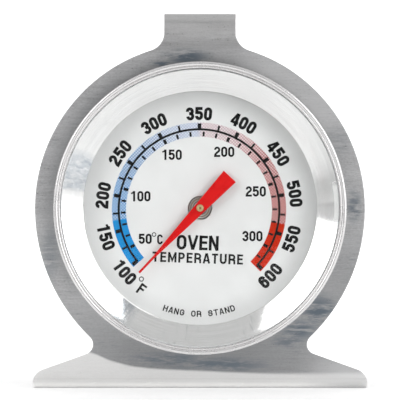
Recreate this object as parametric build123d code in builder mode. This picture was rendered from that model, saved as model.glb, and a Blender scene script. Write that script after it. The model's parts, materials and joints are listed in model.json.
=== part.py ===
"""Oven thermometer: a bimetal dial thermometer in a round steel case, held by a one-piece sheet bracket.

The bracket stands on its foot or hangs from a rack wire by its hook. A bimetal spiral behind the dial turns
an arbor, and the arbor carries the red pointer.

Frame: millimetres, +Z up, the dial faces -Y, and the origin is the middle of the base of the whole part.
"Depth" is measured from the front face of the bracket's plate, and is positive towards the back.
"""

import os
from math import atan2, cos, degrees, radians, sin, tan

from build123d import *

os.makedirs("parts", exist_ok=True)

# ---------------------------------------------------------------- driving dimensions
OVERALL_HEIGHT = 70.0
OVERALL_DEPTH = 36.0
FOOT_WIDTH = 62.4
DIAL_Z = 33.65  # height of the pointer's axis
SHEET = 0.5  # bracket sheet
SHELL = 0.4  # drawn case, bezel, bridge and dial sheet
EASED = 0.12  # deburred edges of the bracket

# Bracket, front outline
RING_R = 30.75
FLANK_SHIFT = 2.5  # the ring's lower flanks are fuller: their centre lies this far past the axis
PLATE_HOLE_R = 26.3
TAB_WIDTH = 13.4
TAB_FILLET = 3.5
NOTCH_R = 1.9  # the round notch between ring and foot
NOTCH_X = 21.83
SHOULDER_SLOPE = 19.7  # degrees
SHOULDER_CORNER_R = 2.8

# Bracket, side profile
FOOT_BEND_R = 3.2  # outer radius
FOOT_CORNER_R = 5.0
HOOK_BEND_R = 2.0  # outer radius
HOOK_GAP = 7.6
HOOK_LEG_END_Z = 64.6
HOOK_TIP = 2.2
HOOK_TIP_BEND_R = 0.8
HOOK_CORNER_R = 2.5

# Bezel, lens, gasket and reflector
BEZEL_R = 27.14
BEZEL_FRONT = -2.95
LIP_R = 25.9
GROOVE_R = 26.32  # between the rim's two beads
GROOVE_DEPTH = 0.25
INNER_BEAD_DROP = 0.08  # how far the inner bead stays behind the outer one
BEAD_ROLL = 0.6  # depth of the outer bead's rounding
LENS_SEAT_R = 26.74
SKIRT_R = 26.25
SKIRT_END = 2.1
LENS_R = 26.64
LENS_FRONT = -2.35
LENS_THICKNESS = 1.2
LENS_EDGE = 0.1
GASKET_THICKNESS = 0.4
GASKET_INNER_R = 25.72
CONE_OUTER_R = 25.7
CONE_INNER_R = 21.8
CONE_END = 1.45
CONE_SHEET = 0.35
CONE_SET_BACK = 0.09  # how much wider the cone's back is than its front at the same depth

# Dial and case
DIAL_FACE = 1.8
DIAL_R = 25.6
DIAL_HOLE_R = 2.24
PACKING_THICKNESS = 0.2
CASE_BODY_R = 23.3
CASE_BACK = 8.0
CASE_CORNER_R = 1.2
CASE_STEP_R = 0.5
FLANGE_R = 27.2
BEAD_R = 18.5
BEAD_HEIGHT = 0.4
BEAD_WIDTH = 3.0
VENT_R = 0.9
VENT_CIRCLE_R = 15.5
VENT_COUNT = 6

# Arbor, collet and bearing
ARBOR_R = 0.5
ARBOR_END = 7.3
ARBOR_HEAD_R = 0.68
ARBOR_HEAD = 0.25
PUNCH_R = 0.28
ARBOR_EDGE_R = 0.1
RUNNING_GAP = 0.03
END_PLAY = 0.05
COLLET_R = 0.95
WASHER_R = 1.5
WASHER_THICKNESS = 0.15
CLIP_R = 1.1
CLIP_THICKNESS = 0.2
SLEEVE_R = 1.1
SLEEVE_FLANGE_R = 1.8
SLEEVE_FLANGE = 0.25
SLEEVE_END = 6.75
SLEEVE_STAKE = 0.25  # how far its staked end grips past the web's hole

# Bimetal coil and the post that holds its outer end
STRIP = 0.25
STRIP_WIDTH = 2.5
COIL_FRONT = 2.8
COIL_PITCH = 0.42
COIL_HALF_TURNS = 18
COIL_TAIL = 3.2
POST_R = 0.85
POST_SHANK_R = 0.5
POST_HEAD = 0.3
PIN_R = 0.2
PIN_LENGTH = 2.1

# Bridge
BRIDGE_WEB = 5.75
BRIDGE_WIDTH = 7.0
BRIDGE_STEP_X = 8.5
BRIDGE_FOOT_X = 15.0
BRIDGE_CORNER_R = 2.0
RIVET_X = 12.5
RIVET_R = 0.75
RIVET_HEAD_R = 1.4
RIVET_HEAD = 0.45
RIVET_TAPER = 25  # degrees, on the head behind the case

# Pointer
POINTER_ANGLE = 226.7  # degrees anticlockwise from 3 o'clock: its place in a cold oven
POINTER_REACH = 16.55
POINTER_TAIL = 8.1
POINTER_TAIL_WIDTH = 3.1
POINTER_TAPER = ((5.5, 1.4), (12.5, 0.46))  # how far out along the blade, and its width there
POINTER_TIP_WIDTH = 0.42
POINTER_FRONT = 0.5
POINTER_SHEET = 0.3
HUB_R = 1.0
HUB_LENGTH = 0.7

# ---------------------------------------------------------------- places worked out from those
PLATE_Y = -OVERALL_DEPTH / 2 - BEZEL_FRONT
FOOT_REACH = OVERALL_DEPTH / 2 - PLATE_Y
LENS_BACK = LENS_FRONT + LENS_THICKNESS
REFLECTOR_FRONT = LENS_BACK + GASKET_THICKNESS
LEDGE = DIAL_FACE + SHELL + PACKING_THICKNESS
CASE_INSIDE = CASE_BACK - SHELL
COIL_BACK = COIL_FRONT + STRIP_WIDTH
COIL_START_R = COLLET_R + STRIP / 2
COIL_END_R = COIL_START_R + COIL_HALF_TURNS * COIL_PITCH / 2
POST_X = (COIL_END_R**2 + COIL_TAIL**2) ** 0.5
COIL_TURN = -degrees(atan2(COIL_TAIL, COIL_END_R))  # brings the tail's end to 3 o'clock
TAIL_END = COIL_TAIL + POST_R / 2
DIAL_AXIS = Axis((0, PLATE_Y, DIAL_Z), (0, 1, 0))
SECTION = Plane((0, PLATE_Y, DIAL_Z))  # half sections for revolving: x is the radius, y the depth


def facing(depth, turn=0.0):
    """A plane seen from the front, centred on the dial: x right, y up, and extruding comes forward.

    The turn is in degrees, anticlockwise.
    """
    right = (cos(radians(turn)), 0, sin(radians(turn)))
    return Plane(origin=(0, PLATE_Y + depth, DIAL_Z), x_dir=right, z_dir=(0, -1, 0))


def ring(inner, outer, front, back):
    """Draws the half section of a flat ring or a tube in the sketch that is open."""
    with Locations(((inner + outer) / 2, (front + back) / 2)):
        Rectangle(outer - inner, back - front)


def save(built, name):
    """Names a finished piece and writes its STEP file."""
    built.part.label = name
    export_step(built.part, f"parts/{name}.step")


# ---------------------------------------------------------------- stand bracket
# The side profile from the hook's tip to the foot, at full width: x is the depth and y the height.
SIDE = Plane(origin=(-FOOT_WIDTH / 2, PLATE_Y, 0), x_dir=(0, 1, 0), z_dir=(1, 0, 0))
hook_back = SHEET + HOOK_GAP + SHEET
slant = HOOK_TIP * cos(radians(45))
skin = SHEET * cos(radians(45))
mitre = SHEET * tan(radians(22.5))

with BuildPart() as bent_sheet:
    with BuildSketch(SIDE):
        with BuildLine():
            outside = FilletPolyline(
                (hook_back + slant, HOOK_LEG_END_Z - slant),
                (hook_back, HOOK_LEG_END_Z),
                (hook_back, OVERALL_HEIGHT),
                (0, OVERALL_HEIGHT),
                (0, 0),
                (FOOT_REACH, 0),
                radius=[HOOK_TIP_BEND_R, HOOK_BEND_R, HOOK_BEND_R, FOOT_BEND_R],
            )
            inside = FilletPolyline(
                (FOOT_REACH, SHEET),
                (SHEET, SHEET),
                (SHEET, OVERALL_HEIGHT - SHEET),
                (SHEET + HOOK_GAP, OVERALL_HEIGHT - SHEET),
                (SHEET + HOOK_GAP, HOOK_LEG_END_Z - mitre),
                (hook_back + slant - skin, HOOK_LEG_END_Z - slant - skin),
                radius=[
                    FOOT_BEND_R - SHEET,
                    HOOK_BEND_R - SHEET,
                    HOOK_BEND_R - SHEET,
                    HOOK_TIP_BEND_R + SHEET,
                ],
            )
            Line(outside @ 1, inside @ 0)
            Line(inside @ 1, outside @ 0)
        make_face()
    extrude(amount=FOOT_WIDTH)

# The blank cuts that sheet to shape: the front outline, the tab's width behind it, and the foot's plan.
slope = radians(SHOULDER_SLOPE)
flank_r = RING_R + FLANK_SHIFT
tab_reach = RING_R + TAB_FILLET
tab_x = TAB_WIDTH / 2 + TAB_FILLET
tab_z = (tab_reach**2 - tab_x**2) ** 0.5
tab_top = OVERALL_HEIGHT - DIAL_Z
tip_z = HOOK_LEG_END_Z - slant
flank_centre = Vector(-FLANK_SHIFT, 0)
notch = Vector(NOTCH_X, -(((flank_r + NOTCH_R) ** 2 - (NOTCH_X + FLANK_SHIFT) ** 2) ** 0.5))
notch_top = notch + (flank_centre - notch).normalized() * NOTCH_R
notch_low = notch + Vector(-sin(slope), -cos(slope)) * NOTCH_R
foot_x = FOOT_WIDTH / 2
shoulder = Vector(foot_x, notch_low.Y - (foot_x - notch_low.X) * tan(slope))

with BuildPart() as blank:
    with BuildSketch(facing(0)):
        with BuildLine():
            side = Polyline((0, tab_top), (TAB_WIDTH / 2, tab_top), (TAB_WIDTH / 2, tab_z))
            tab_end = Vector(tab_x, tab_z) * (RING_R / tab_reach)
            RadiusArc(side @ 1, tab_end, -TAB_FILLET)
            ThreePointArc(tab_end, Vector(RING_R, 0).rotate(Axis.Z, 35), (RING_R, 0))
            flank_mid = Vector(flank_r, 0).rotate(Axis.Z, -20) + flank_centre
            ThreePointArc((RING_R, 0), flank_mid, notch_top)
            ThreePointArc(notch_top, notch - Vector(NOTCH_R, 0), notch_low)
            FilletPolyline(
                notch_low, shoulder, (foot_x, -DIAL_Z), (0, -DIAL_Z), radius=[SHOULDER_CORNER_R, 0]
            )
            mirror(about=Plane.YZ)
        make_face()
        Circle(PLATE_HOLE_R, mode=Mode.SUBTRACT)
    extrude(amount=-FOOT_BEND_R)
    with BuildSketch(facing(0)):
        with Locations((0, (tip_z + OVERALL_HEIGHT) / 2 - DIAL_Z)):
            Rectangle(TAB_WIDTH, OVERALL_HEIGHT - tip_z)
        fillet(vertices().group_by(Axis.Y)[0], HOOK_CORNER_R)
    extrude(amount=-hook_back - slant)
    with BuildSketch(Plane.XY):
        with Locations((0, PLATE_Y + (FOOT_BEND_R + FOOT_REACH) / 2)):
            Rectangle(FOOT_WIDTH, FOOT_REACH - FOOT_BEND_R)
        fillet(vertices().group_by(Axis.Y)[-1], FOOT_CORNER_R)
    extrude(amount=2 * SHEET)

with BuildPart() as stand_bracket:
    add(bent_sheet.part)
    add(blank.part, mode=Mode.INTERSECT)
    # The straight edges along X only mark where the flat front runs on into the two bends.
    front_face = faces().filter_by(Axis.Y).sort_by(Axis.Y)[0]
    outline = front_face.edges().filter_by(lambda edge: not edge.is_closed)
    fillet(outline.filter_by(Axis.X, reverse=True), EASED)
save(stand_bracket, "stand_bracket")

# ---------------------------------------------------------------- bezel, lens, gasket and reflector
with BuildPart() as bezel:
    with BuildSketch(SECTION):
        with BuildLine():
            wall_end = (BEZEL_R, BEZEL_FRONT + BEAD_ROLL)
            groove = (GROOVE_R, BEZEL_FRONT + GROOVE_DEPTH)
            lip = (LIP_R, BEZEL_FRONT + GROOVE_DEPTH + INNER_BEAD_DROP)
            ThreePointArc(wall_end, ((BEZEL_R + GROOVE_R) / 2, BEZEL_FRONT), groove)
            ThreePointArc(groove, ((GROOVE_R + LIP_R) / 2, BEZEL_FRONT + INNER_BEAD_DROP), lip)
            Polyline(
                lip,
                (LIP_R, LENS_FRONT),
                (LENS_SEAT_R, LENS_FRONT),
                (LENS_SEAT_R, -SHELL),
                (SKIRT_R - SHELL, -SHELL),
                (SKIRT_R - SHELL, SKIRT_END),
                (SKIRT_R, SKIRT_END),
                (SKIRT_R, 0),
                (BEZEL_R, 0),
                wall_end,
            )
        make_face()
    revolve(axis=DIAL_AXIS)
save(bezel, "bezel")

with BuildPart() as lens:
    with BuildSketch(facing(LENS_BACK)):
        Circle(LENS_R)
    extrude(amount=LENS_THICKNESS)
    chamfer(edges().filter_by(GeomType.CIRCLE), LENS_EDGE)
save(lens, "lens")

with BuildPart() as lens_gasket:
    with BuildSketch(SECTION):
        ring(GASKET_INNER_R, LENS_R, LENS_BACK, REFLECTOR_FRONT)
    revolve(axis=DIAL_AXIS)
save(lens_gasket, "lens_gasket")

with BuildPart() as reflector_ring:
    with BuildSketch(SECTION):
        with BuildLine():
            Polyline(
                (LENS_R, REFLECTOR_FRONT),
                (CONE_OUTER_R, REFLECTOR_FRONT),
                (CONE_INNER_R, CONE_END),
                (CONE_INNER_R, DIAL_FACE),
                (CONE_INNER_R + CONE_SET_BACK, DIAL_FACE),
                (CONE_OUTER_R + CONE_SET_BACK, REFLECTOR_FRONT + CONE_SHEET),
                (LENS_R, REFLECTOR_FRONT + CONE_SHEET),
                close=True,
            )
        make_face()
    revolve(axis=DIAL_AXIS)
save(reflector_ring, "reflector_ring")

# ---------------------------------------------------------------- dial, packing ring and rear case
with BuildPart() as dial_plate:
    with BuildSketch(facing(DIAL_FACE + SHELL)):
        Circle(DIAL_R)
        Circle(DIAL_HOLE_R, mode=Mode.SUBTRACT)
    extrude(amount=SHELL)
save(dial_plate, "dial_plate")

with BuildPart() as packing_ring:
    with BuildSketch(SECTION):
        ring(CASE_BODY_R, DIAL_R, DIAL_FACE + SHELL, LEDGE)
    revolve(axis=DIAL_AXIS)
save(packing_ring, "packing_ring")

with BuildPart() as rear_case:
    with BuildSketch(SECTION):
        with BuildLine():
            FilletPolyline(
                (0, CASE_BACK),
                (CASE_BODY_R, CASE_BACK),
                (CASE_BODY_R, LEDGE + SHELL),
                (SKIRT_R + SHELL, LEDGE + SHELL),
                (SKIRT_R + SHELL, SHEET + SHELL),
                (FLANGE_R, SHEET + SHELL),
                (FLANGE_R, SHEET),
                (SKIRT_R, SHEET),
                (SKIRT_R, LEDGE),
                (CASE_BODY_R - SHELL, LEDGE),
                (CASE_BODY_R - SHELL, CASE_INSIDE),
                (0, CASE_INSIDE),
                radius=[CASE_CORNER_R, 0, CASE_STEP_R, 0, 0, 0, 0, 0, CASE_STEP_R, CASE_CORNER_R - SHELL],
            )
            Line((0, CASE_INSIDE), (0, CASE_BACK))
        make_face()
        with Locations((BEAD_R, CASE_BACK)):
            Ellipse(BEAD_WIDTH / 2, BEAD_HEIGHT)
        with Locations((BEAD_R, CASE_INSIDE)):
            Ellipse(BEAD_WIDTH / 2 - BEAD_HEIGHT, BEAD_HEIGHT, mode=Mode.SUBTRACT)
    revolve(axis=DIAL_AXIS)
    with BuildSketch(facing(CASE_BACK)):
        with PolarLocations(VENT_CIRCLE_R, VENT_COUNT, start_angle=180 / VENT_COUNT):
            Circle(VENT_R)
        with Locations((-RIVET_X, 0), (RIVET_X, 0)):
            Circle(RIVET_R)
    extrude(amount=2 * SHELL, mode=Mode.SUBTRACT)
save(rear_case, "rear_case")

# ---------------------------------------------------------------- bridge, rivets, bearing sleeve and coil post
with BuildPart() as movement_bridge:
    with BuildSketch(Plane((0, PLATE_Y, DIAL_Z - BRIDGE_WIDTH / 2))):
        with BuildLine():
            half = Polyline(
                (0, BRIDGE_WEB),
                (BRIDGE_STEP_X, BRIDGE_WEB),
                (BRIDGE_STEP_X, CASE_INSIDE - SHELL),
                (BRIDGE_FOOT_X, CASE_INSIDE - SHELL),
                (BRIDGE_FOOT_X, CASE_INSIDE),
                (BRIDGE_STEP_X - SHELL, CASE_INSIDE),
                (BRIDGE_STEP_X - SHELL, BRIDGE_WEB + SHELL),
                (0, BRIDGE_WEB + SHELL),
            )
            mirror(about=Plane.YZ)
        make_face()
    extrude(amount=BRIDGE_WIDTH)
    fillet(edges().filter_by(Axis.Y).group_by(SortBy.DISTANCE)[-1], BRIDGE_CORNER_R)
    with BuildSketch(facing(CASE_BACK)):
        Circle(SLEEVE_R)
        with Locations((POST_X, 0)):
            Circle(POST_SHANK_R)
        with Locations((-RIVET_X, 0), (RIVET_X, 0)):
            Circle(RIVET_R)
    extrude(amount=CASE_BACK - BRIDGE_WEB, mode=Mode.SUBTRACT)
save(movement_bridge, "movement_bridge")

with BuildPart() as bridge_rivets:
    for side_x in (-RIVET_X, RIVET_X):
        spots = Locations((side_x, 0))
        with BuildSketch(facing(CASE_INSIDE - SHELL)), spots:
            Circle(RIVET_HEAD_R)
        extrude(amount=RIVET_HEAD)
        with BuildSketch(facing(CASE_BACK)), spots:
            Circle(RIVET_R)
        extrude(amount=2 * SHELL)
        with BuildSketch(facing(CASE_BACK)), spots:
            Circle(RIVET_HEAD_R)
        extrude(amount=-RIVET_HEAD, taper=RIVET_TAPER)
save(bridge_rivets, "bridge_rivets")

with BuildPart() as bearing_sleeve:
    with BuildSketch(SECTION):
        with BuildLine():
            Polyline(
                (ARBOR_R + RUNNING_GAP, BRIDGE_WEB - SLEEVE_FLANGE),
                (SLEEVE_FLANGE_R, BRIDGE_WEB - SLEEVE_FLANGE),
                (SLEEVE_FLANGE_R, BRIDGE_WEB),
                (SLEEVE_R, BRIDGE_WEB),
                (SLEEVE_R, BRIDGE_WEB + SHELL),
                (SLEEVE_R + SLEEVE_STAKE, BRIDGE_WEB + SHELL),
                (SLEEVE_R, SLEEVE_END),
                (ARBOR_R + RUNNING_GAP, SLEEVE_END),
                close=True,
            )
        make_face()
    revolve(axis=DIAL_AXIS)
save(bearing_sleeve, "bearing_sleeve")

# The pin goes through the post and the coil's tail, square to the strip.
strip_normal = Vector(1, 0, 0).rotate(Axis.Y, -COIL_TURN)
pin_middle = Vector(POST_X, PLATE_Y + (COIL_FRONT + COIL_BACK) / 2, DIAL_Z)
PIN_START = Plane(origin=pin_middle - strip_normal * PIN_LENGTH / 2, z_dir=strip_normal)

with BuildPart() as anchor_pin:
    with BuildSketch(PIN_START):
        Circle(PIN_R)
    extrude(amount=PIN_LENGTH)
save(anchor_pin, "anchor_pin")

with BuildPart() as coil_post:
    with BuildSketch(facing(BRIDGE_WEB)):
        with Locations((POST_X, 0)):
            Circle(POST_R)
    extrude(amount=BRIDGE_WEB - COIL_FRONT)
    with BuildSketch(facing(BRIDGE_WEB + SHELL)):
        with Locations((POST_X, 0)):
            Circle(POST_SHANK_R)
    extrude(amount=SHELL)
    with BuildSketch(facing(BRIDGE_WEB + SHELL)):
        with Locations((POST_X, 0)):
            Circle(POST_R)
    extrude(amount=-POST_HEAD)
    with BuildSketch(facing(COIL_BACK, COIL_TURN)):
        with Locations((COIL_END_R, COIL_TAIL)):
            Rectangle(STRIP, 3 * POST_R)
    extrude(amount=STRIP_WIDTH, mode=Mode.SUBTRACT)
    add(anchor_pin.part, mode=Mode.SUBTRACT)
save(coil_post, "coil_post")

with BuildPart() as bimetal_coil:
    with BuildSketch(facing(COIL_BACK, COIL_TURN)):
        with BuildLine():
            for face_r in (COIL_START_R - STRIP / 2, COIL_START_R + STRIP / 2):
                # Half circles, each wider than the last, about two centres half a pitch apart.
                for half_turn in range(COIL_HALF_TURNS):
                    centre = Vector(half_turn % 2 * COIL_PITCH / 2, 0)
                    reach = Vector(face_r + half_turn * COIL_PITCH / 2, 0) * (1 - half_turn % 2 * 2)
                    bulge = reach.rotate(Axis.Z, 90)
                    ThreePointArc(centre + reach, centre + bulge, centre - reach)
                outer_end = Vector(face_r + COIL_HALF_TURNS * COIL_PITCH / 2, 0)
                Line(outer_end, outer_end + Vector(0, TAIL_END))
            Line((COIL_START_R - STRIP / 2, 0), (COIL_START_R + STRIP / 2, 0))
            Line((COIL_END_R - STRIP / 2, TAIL_END), (COIL_END_R + STRIP / 2, TAIL_END))
        make_face()
    extrude(amount=STRIP_WIDTH)
    add(anchor_pin.part, mode=Mode.SUBTRACT)
save(bimetal_coil, "bimetal_coil")

# ---------------------------------------------------------------- what turns: the arbor and what it carries
with BuildPart() as arbor:
    with BuildSketch(SECTION):
        with BuildLine():
            FilletPolyline(
                (0, POINTER_FRONT - ARBOR_HEAD + PUNCH_R),
                (PUNCH_R, POINTER_FRONT - ARBOR_HEAD),
                (ARBOR_HEAD_R, POINTER_FRONT - ARBOR_HEAD),
                (ARBOR_HEAD_R, POINTER_FRONT),
                (ARBOR_R, POINTER_FRONT),
                (ARBOR_R, ARBOR_END),
                (0, ARBOR_END),
                radius=[ARBOR_EDGE_R / 2, ARBOR_EDGE_R, 0, 0, ARBOR_EDGE_R],
            )
            Line((0, ARBOR_END), (0, POINTER_FRONT - ARBOR_HEAD + PUNCH_R))
        make_face()
    revolve(axis=DIAL_AXIS)
save(arbor, "arbor")

washer_back = BRIDGE_WEB - SLEEVE_FLANGE - END_PLAY
for label, outer, front, back in (
    ("pointer_hub", HUB_R, POINTER_FRONT + POINTER_SHEET, POINTER_FRONT + POINTER_SHEET + HUB_LENGTH),
    ("coil_collet", COLLET_R, COIL_FRONT, washer_back - WASHER_THICKNESS),
    ("thrust_washer", WASHER_R, washer_back - WASHER_THICKNESS, washer_back),
    ("arbor_clip", CLIP_R, SLEEVE_END + END_PLAY, SLEEVE_END + END_PLAY + CLIP_THICKNESS),
):
    with BuildPart() as collar:
        with BuildSketch(SECTION):
            ring(ARBOR_R, outer, front, back)
        revolve(axis=DIAL_AXIS)
    save(collar, label)

with BuildPart() as pointer:
    with BuildSketch(facing(POINTER_FRONT + POINTER_SHEET, POINTER_ANGLE)):
        with BuildLine():
            blade = Polyline(
                (-POINTER_TAIL, 0),
                (-POINTER_TAIL, POINTER_TAIL_WIDTH / 2),
                *((reach, width / 2) for reach, width in POINTER_TAPER),
                (POINTER_REACH, POINTER_TIP_WIDTH / 2),
                (POINTER_REACH, 0),
            )
            mirror(about=Plane.XZ)
        make_face()
        Circle(ARBOR_R, mode=Mode.SUBTRACT)
    extrude(amount=POINTER_SHEET)
save(pointer, "pointer")
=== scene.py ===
import json
from math import atan2, ceil, cos, degrees, pi, radians, sin, sqrt

import bmesh
import bpy
import numpy as np
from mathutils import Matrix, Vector


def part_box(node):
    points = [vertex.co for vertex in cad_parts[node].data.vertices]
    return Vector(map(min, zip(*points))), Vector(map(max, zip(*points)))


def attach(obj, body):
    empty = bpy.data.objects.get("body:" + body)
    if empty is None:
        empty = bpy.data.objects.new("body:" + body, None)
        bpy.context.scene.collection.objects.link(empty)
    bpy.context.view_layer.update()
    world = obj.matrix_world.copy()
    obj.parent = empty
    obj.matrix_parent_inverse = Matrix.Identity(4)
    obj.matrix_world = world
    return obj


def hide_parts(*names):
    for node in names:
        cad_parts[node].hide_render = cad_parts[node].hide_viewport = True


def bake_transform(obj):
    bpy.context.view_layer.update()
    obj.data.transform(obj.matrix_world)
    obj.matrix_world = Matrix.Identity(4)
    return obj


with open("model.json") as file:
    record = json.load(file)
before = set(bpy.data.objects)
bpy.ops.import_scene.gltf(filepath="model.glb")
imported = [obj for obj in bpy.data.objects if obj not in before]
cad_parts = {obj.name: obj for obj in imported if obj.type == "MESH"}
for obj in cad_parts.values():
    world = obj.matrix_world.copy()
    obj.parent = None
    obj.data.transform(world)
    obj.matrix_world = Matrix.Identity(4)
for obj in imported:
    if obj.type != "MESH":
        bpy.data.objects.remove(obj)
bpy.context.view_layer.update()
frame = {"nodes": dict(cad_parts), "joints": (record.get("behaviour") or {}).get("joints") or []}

MM = 0.001
ROOT = "stand_and_case"
TURNING = "pointer_assembly"
SEGMENTS = 288  # round the lathe-made pieces

axis_point = Vector(frame["joints"][0]["pos_m"])
PLATE_Y = axis_point.y
DIAL_Z = axis_point.z


def low(node):
    """The lowest corner of a CAD node's box, in metres. Its y is the node's front."""
    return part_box(node)[0]


def high(node):
    """The highest corner of a CAD node's box, in metres. Its y is the node's back."""
    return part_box(node)[1]


def depths(node):
    """The depths of a CAD node's front and back."""
    return [(corner.y - PLATE_Y) / MM for corner in (low(node), high(node))]


def at_depth(x, z, depth):
    """A point by its distances to the right of the dial's middle and above it, and its depth."""
    return Vector((x * MM, PLATE_Y + depth * MM, DIAL_Z + z * MM))


def on_dial(radius, angle, depth):
    """A point by its radius and angle about the dial's axis, and its depth."""
    turn = radians(angle)
    return at_depth(radius * cos(turn), radius * sin(turn), depth)


# ---- meshes
def add(name, data):
    """Puts a new object in the scene."""
    made = bpy.data.objects.new(name, data)
    bpy.context.scene.collection.objects.link(made)
    return made


def add_mesh(name, bm):
    """Turns a bmesh into a smooth object in the scene."""
    mesh = bpy.data.meshes.new(name)
    bm.to_mesh(mesh)
    bm.free()
    mesh.shade_smooth()
    return add(name, mesh)


def finish_mesh(name, bm, body, replaced=(), sharp=30.0):
    """Cleans a bmesh, makes it an object that rides on a body, and shades it smooth up to the sharp angle."""
    bmesh.ops.remove_doubles(bm, verts=bm.verts, dist=1e-8)
    bmesh.ops.recalc_face_normals(bm, faces=bm.faces)
    piece = add_mesh(name, bm)
    piece.data.set_sharp_from_angle(angle=radians(sharp))
    if body:
        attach(piece, body)
    if replaced:
        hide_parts(*replaced)
    return piece


def bow(x, y, radius, start, end, steps, radius_y=None):
    """Points along an arc about (x, y). A second radius draws it out along y."""
    tall = radius if radius_y is None else radius_y
    turns = [radians(start + (end - start) * i / steps) for i in range(steps + 1)]
    return [(x + radius * cos(t), y + tall * sin(t)) for t in turns]


def tube(bm, rings, closed=False, skip=()):
    """Joins each ring of vertices to the next, but not at edges to skip, and caps the ends or joins them."""
    for here, there in zip(rings, rings[1:] + rings[:1] if closed else rings[1:]):
        for j in range(len(here)):
            if j not in skip:
                k = (j + 1) % len(here)
                bm.faces.new((here[j], here[k], there[k], there[j]))
    if not closed:
        bm.faces.new(rings[0])
        bm.faces.new(rings[-1][::-1])


def lathe(name, profile, body, replaced, sharp=30.0, segments=SEGMENTS):
    """Turns a closed outline of (radius, depth) points about the dial's axis."""
    bm = bmesh.new()
    rings = [[bm.verts.new(on_dial(r, 360.0 * i / segments, depth)) for r, depth in profile]
             for i in range(segments)]
    radii = [r for r, _ in profile]
    on_axis = [j for j, (r, following) in enumerate(zip(radii, radii[1:] + radii[:1])) if r == following == 0]
    tube(bm, rings, closed=True, skip=on_axis)
    return finish_mesh(name, bm, body, replaced, sharp)


# ---- materials
def shaded(colour, *shares):
    """A colour times one share, or times a share each for red, green and blue."""
    return tuple(c * share for c, share in zip(colour, shares * (3 // len(shares))))


def opaque(colour):
    """A colour with its alpha. One number is a grey, and a node's socket stays as it is."""
    if isinstance(colour, float):
        colour = (colour,) * 3
    return (*colour, 1.0) if isinstance(colour, tuple) else colour


def linear(*screen):
    """A colour given in screen values from 0 to 255, or a grey in one, as the shader wants it."""
    scaled = [v / 255 for v in screen * (3 // len(screen))]
    return tuple(v / 12.92 if v <= 0.04045 else ((v + 0.055) / 1.055) ** 2.4 for v in scaled)


class Nodes:
    """Short calls for the nodes of one tree."""

    def __init__(self, tree, coordinates):
        self.tree = tree
        self.place = self.node("TexCoord").outputs[coordinates]

    def node(self, kind, inputs=(), **settings):
        made = self.tree.nodes.new("ShaderNode" + kind)
        for key, value in settings.items():
            setattr(made, key, value)
        for key, value in dict(inputs).items():
            self.feed(made.inputs[key], value)
        return made

    def feed(self, socket, value):
        if isinstance(value, bpy.types.NodeSocket):
            self.tree.links.new(value, socket)
        elif value is not None:
            socket.default_value = value

    def math(self, operation, *values):
        return self.node("Math", enumerate(values), operation=operation).outputs[0]

    def each(self, operation, first, *others):
        """Takes a first value through an operation with each of the others."""
        for other in others:
            first = self.math(operation, first, other)
        return first

    def plus(self, *terms):
        return self.each("ADD", *terms)

    def times(self, *factors):
        return self.each("MULTIPLY", *factors)

    def most(self, *values):
        return self.each("MAXIMUM", *values)

    def minus(self, a, b):
        return self.math("SUBTRACT", a, b)

    def size(self, value):
        return self.math("ABSOLUTE", value)

    def length(self, a, b):
        """The length of a vector by its two parts."""
        return self.math("SQRT", self.plus(self.times(a, a), self.times(b, b)))

    def stretch(self, value, low_in, high_in, low_out=0.0, high_out=1.0):
        """Maps a range to another, clamped, with soft ends."""
        inputs = {0: value, 1: low_in, 2: high_in, 3: low_out, 4: high_out}
        return self.node("MapRange", inputs, interpolation_type="SMOOTHSTEP").outputs[0]

    def spread(self, noise, low_out=0.0, high_out=1.0):
        """Maps the values that a noise mostly takes to a whole range."""
        return self.stretch(noise, 0.3, 0.7, low_out, high_out)

    def within(self, value, middle, outer, inner, share=1.0):
        """0 farther than the outer distance from the middle, the share nearer than the inner one."""
        return self.stretch(self.size(self.minus(value, middle)), outer, inner, 0.0, share)

    def mix(self, share, a, b, blend="MIX"):
        inputs = {0: share, 6: opaque(a), 7: opaque(b)}
        return self.node("Mix", inputs, data_type="RGBA", blend_type=blend).outputs[2]

    def over(self, tone, colour, value, low_in, high_in, share=1.0):
        """Lays a colour over a tone as a value goes from low to high, up to a share."""
        return self.mix(self.stretch(value, low_in, high_in, 0.0, share), tone, colour)

    def ramp(self, share, stops):
        """A colour ramp through (position, colour) stops in rising order."""
        made = self.node("ValToRGB", {0: share})
        elements = made.color_ramp.elements
        while len(elements) < len(stops):
            elements.new(0.5)
        for element, (position, _) in zip(elements, stops):
            element.position = position
        for element, (_, colour) in zip(elements, stops):
            element.color = opaque(colour)
        return made.outputs[0]

    def split(self):
        """The coordinates' x, y and z, in metres."""
        return self.node("SeparateXYZ", {0: self.place}).outputs


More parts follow.
